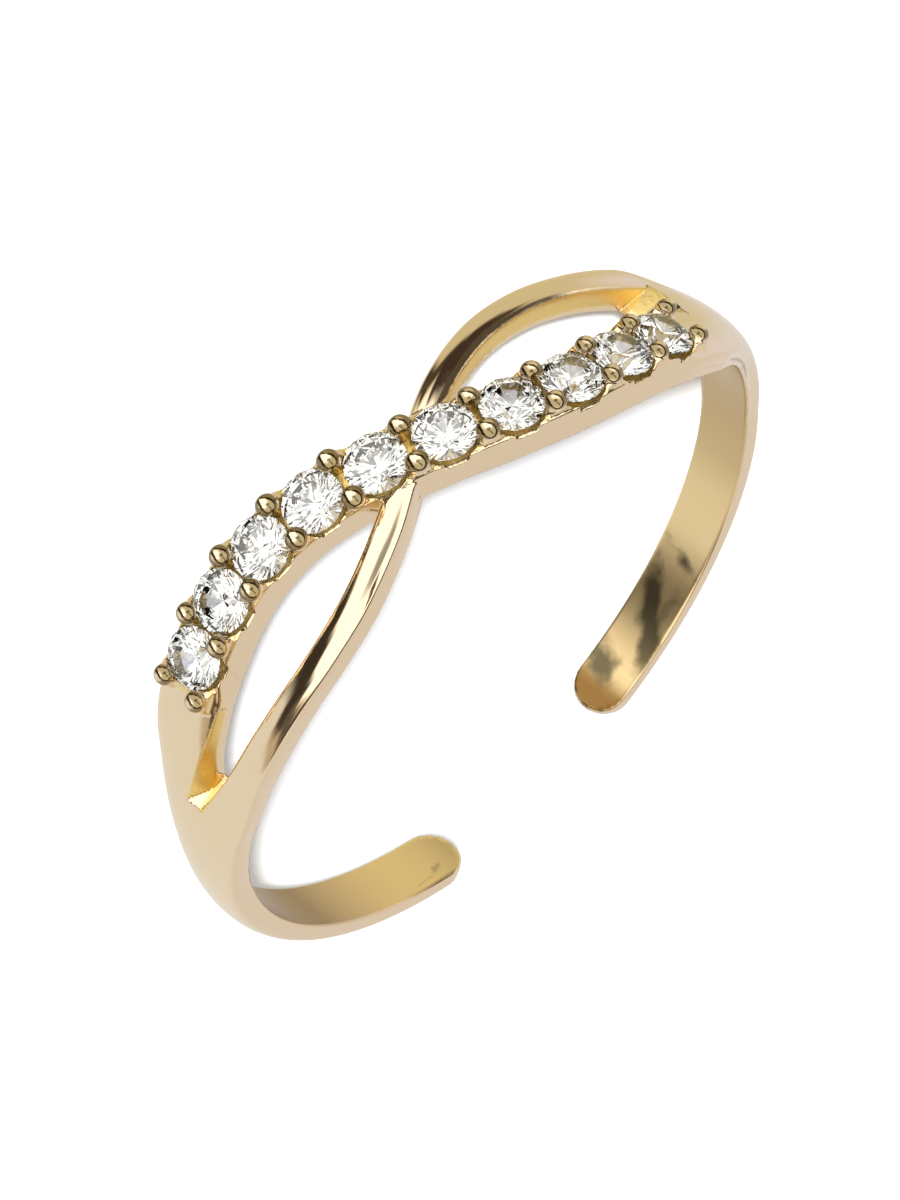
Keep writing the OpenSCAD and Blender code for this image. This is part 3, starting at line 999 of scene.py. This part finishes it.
def gold_colour(tree, place, grit):
    """Polished gold with the satin bore, painted shade and dark reflections in the bore, faint random
     spots, the deeper gold of painted reflection in the rough recesses, and painted dark reflection on
     the beads' domes over it.
    """
    colour = paint(tree, one_colour(tree, POLISHED), stored(tree, "inner"), SATIN)
    # Painted shade and dark reflection on the bore
    colour = paint(tree, colour, stored(tree, "bore_shade"), BORE_SHADE_COLOUR)
    streaks = tree.nodes.new("ShaderNodeMapping")
    streaks.inputs["Rotation"].default_value = (0, 0, math.radians(STREAK_TURN))
    streaks.inputs["Scale"].default_value = (1, STREAK_STRETCH, 1)
    tree.links.new(place, streaks.inputs["Vector"])
    # Faint random spots all over, and the painted dark reflections in the bore, on one streaked noise
    cloud = noise(tree, streaks.outputs["Vector"], *CLOUD_NOISE)
    cloud = math_node(tree, "ADD", stored(tree, "dark_reflection"), cloud)
    colour = paint(tree, colour, remap(tree, cloud, *CLOUDS), SPOTS_AND_DARK_REFLECTION)
    # Deeper gold painted as the gold's reflection of itself in the rough recesses
    deep = math_node(tree, "MULTIPLY", stored(tree, "raw_and_reflecting"), remap(tree, grit, *GRIT_DEPTH))
    colour = paint(tree, colour, deep, RECESS_REFLECTION_GOLD)
    # Painted dark reflection on the beads' domes
    return paint(tree, colour, stored(tree, "bead_reflection"), BEAD_DARK_REFLECTION)


def gold_roughness(tree, place):
    """Faint marks all over, and duller metal in the bore and where the casting is rough."""
    rough = remap(tree, noise(tree, place, *MARK_NOISE), *MARKS_ROUGH)
    satin = math_node(tree, "MULTIPLY", stored(tree, "inner"), SATIN_ROUGH)
    rough = math_node(tree, "MAXIMUM", rough, satin)
    grainy = math_node(tree, "MULTIPLY", stored(tree, "raw_and_reflecting"), RAW_ROUGH)
    return math_node(tree, "MAXIMUM", rough, grainy)


def gold_bump(tree, place, grit):
    """Low waves all over, and grain where the casting is rough."""
    waves = math_node(tree, "MULTIPLY", noise(tree, place, *WAVE_NOISE), WAVE_H)
    grain = math_node(tree, "MULTIPLY", stored(tree, "raw_and_reflecting"), GRAIN_H)
    grain = math_node(tree, "MULTIPLY", grain, grit)
    bump = tree.nodes.new("ShaderNodeBump")
    bump.inputs["Strength"].default_value = BUMP
    bump.inputs["Distance"].default_value = BUMP_H * MM
    tree.links.new(math_node(tree, "ADD", waves, grain), bump.inputs["Height"])
    return bump.outputs["Normal"]


def gold_material():
    """Yellow gold, painted by the shares that the casting's points hold."""
    material, shader = new_material("yellow_gold")
    tree = material.node_tree
    place = tree.nodes.new("ShaderNodeTexCoord").outputs["Object"]
    grit = noise(tree, place, *GRIT_NOISE)
    shader.inputs["Metallic"].default_value = 1
    tree.links.new(gold_colour(tree, place, grit), shader.inputs["Base Color"])
    tree.links.new(gold_roughness(tree, place), shader.inputs["Roughness"])
    tree.links.new(gold_bump(tree, place, grit), shader.inputs["Normal"])
    return material


def stone_material():
    material, shader = new_material("clear_stone")
    shader.inputs["Base Color"].default_value = (*STONE_TINT, 1)
    shader.inputs["Roughness"].default_value = 0
    shader.inputs["IOR"].default_value = STONE_IOR
    shader.inputs["Transmission Weight"].default_value = 1
    return material


def floor_piece():
    """A pale floor, which the gold and the stones don't mirror: they mirror the painted room."""
    r = FLOOR_REACH
    corners = np.array([(-r, -r, 0), (r, -r, 0), (r, r, 0), (-r, r, 0)])
    floor = mesh_object("floor", corners, np.array([[0, 1, 2, 3]]))
    material, shader = new_material("pale_floor")
    shader.inputs["Base Color"].default_value = (*FLOOR_TONE, 1)
    shader.inputs["Roughness"].default_value = FLOOR_ROUGH
    floor.data.materials.append(material)
    floor.visible_glossy = False
    floor.visible_transmission = False


def round_mask(tree, place, toward, half_angle, softness):
    """1 within an angle of a direction, fading to 0 outside it."""
    low = math.cos(math.radians(half_angle + softness))
    high = math.cos(math.radians(half_angle - softness))
    return remap(tree, dot_product(tree, place, toward), low, high)


def stroke_mask(tree, place, start, end, half_width, softness):
    """1 along the arc from one direction to another, fading to 0 beside it."""
    across = start.cross(end).normalized()
    off = math_node(tree, "ABSOLUTE", dot_product(tree, place, across))
    low = math.sin(math.radians(half_width + softness))
    high = math.sin(math.radians(half_width - softness))
    reach = math.degrees(start.angle(end)) / 2 + half_width
    along = round_mask(tree, place, (start + end).normalized(), reach, softness)
    return math_node(tree, "MULTIPLY", remap(tree, off, low, high), along)


def surroundings(camera):
    """The room that the gold and the stones mirror: a bright opening with duller walls and dark
    gaps painted over it, all bent by slow waves. The floor has a light of its own."""
    world = bpy.data.worlds.new("studio")
    bpy.context.scene.world = world
    world.use_nodes = True
    tree = world.node_tree
    place = tree.nodes.new("ShaderNodeTexCoord").outputs["Generated"]
    waves = noise(tree, place, *ROOM_NOISE, "Color")
    waves = vector_node(tree, "SUBTRACT", waves, NOISE_MIDDLE)
    place = vector_node(tree, "MULTIPLY_ADD", waves, ROOM_BEND, place)

    colour = one_colour(tree, OPENING)
    for direction, half_angle, softness, wall in WALLS:
        mask = round_mask(tree, place, towards(camera, *direction), half_angle, softness)
        colour = paint(tree, colour, mask, wall)
    for directions, half_width, softness, gap in GAPS:
        bends = [towards(camera, *direction) for direction in directions]
        for start, end in zip(bends, bends[1:]):
            mask = stroke_mask(tree, place, start, end, half_width, softness)
            colour = paint(tree, colour, mask, gap)

    ray = tree.nodes.new("ShaderNodeLightPath")
    colour = paint(tree, colour, ray.outputs["Is Diffuse Ray"], FLOOR_LIGHT)
    colour = paint(tree, colour, ray.outputs["Is Camera Ray"], BACKDROP)
    tree.links.new(colour, tree.nodes["Background"].inputs["Color"])


def shadow_light(camera):
    """The light beside the camera that throws the ring's short soft shadow."""
    data = bpy.data.lights.new("shadow_light", "SUN")
    data.energy = SHADOW_LIGHT
    data.angle = math.radians(SHADOW_SOFT)
    light = bpy.data.objects.new("shadow_light", data)
    bpy.context.scene.collection.objects.link(light)
    light.visible_glossy = False
    light.visible_transmission = False
    toward = towards(camera, *SHADOW_LIGHT_FROM)
    light.rotation_euler = toward.to_track_quat("Z", "Y").to_euler()


def dress_stones(frame):
    look = stone_material()
    for i in range(1, STONE_COUNT + 1):
        stone = frame["nodes"][f"stone_{i:02d}"]
        stone.data.materials.clear()
        stone.data.materials.append(look)


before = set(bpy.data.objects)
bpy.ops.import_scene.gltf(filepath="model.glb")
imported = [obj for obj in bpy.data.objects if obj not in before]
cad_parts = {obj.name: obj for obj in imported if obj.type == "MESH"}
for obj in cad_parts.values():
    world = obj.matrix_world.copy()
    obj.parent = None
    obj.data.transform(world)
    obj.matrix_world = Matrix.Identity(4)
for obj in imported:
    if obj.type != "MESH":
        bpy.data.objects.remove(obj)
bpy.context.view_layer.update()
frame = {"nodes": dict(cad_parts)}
camera = add_camera()
surroundings(camera)
shadow_light(camera)
floor_piece()

ring = casting_piece()
ring.data.materials.append(gold_material())
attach(ring, "root")
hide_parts("ring_body")
dress_stones(frame)

bpy.context.scene.view_settings.view_transform = "Standard"
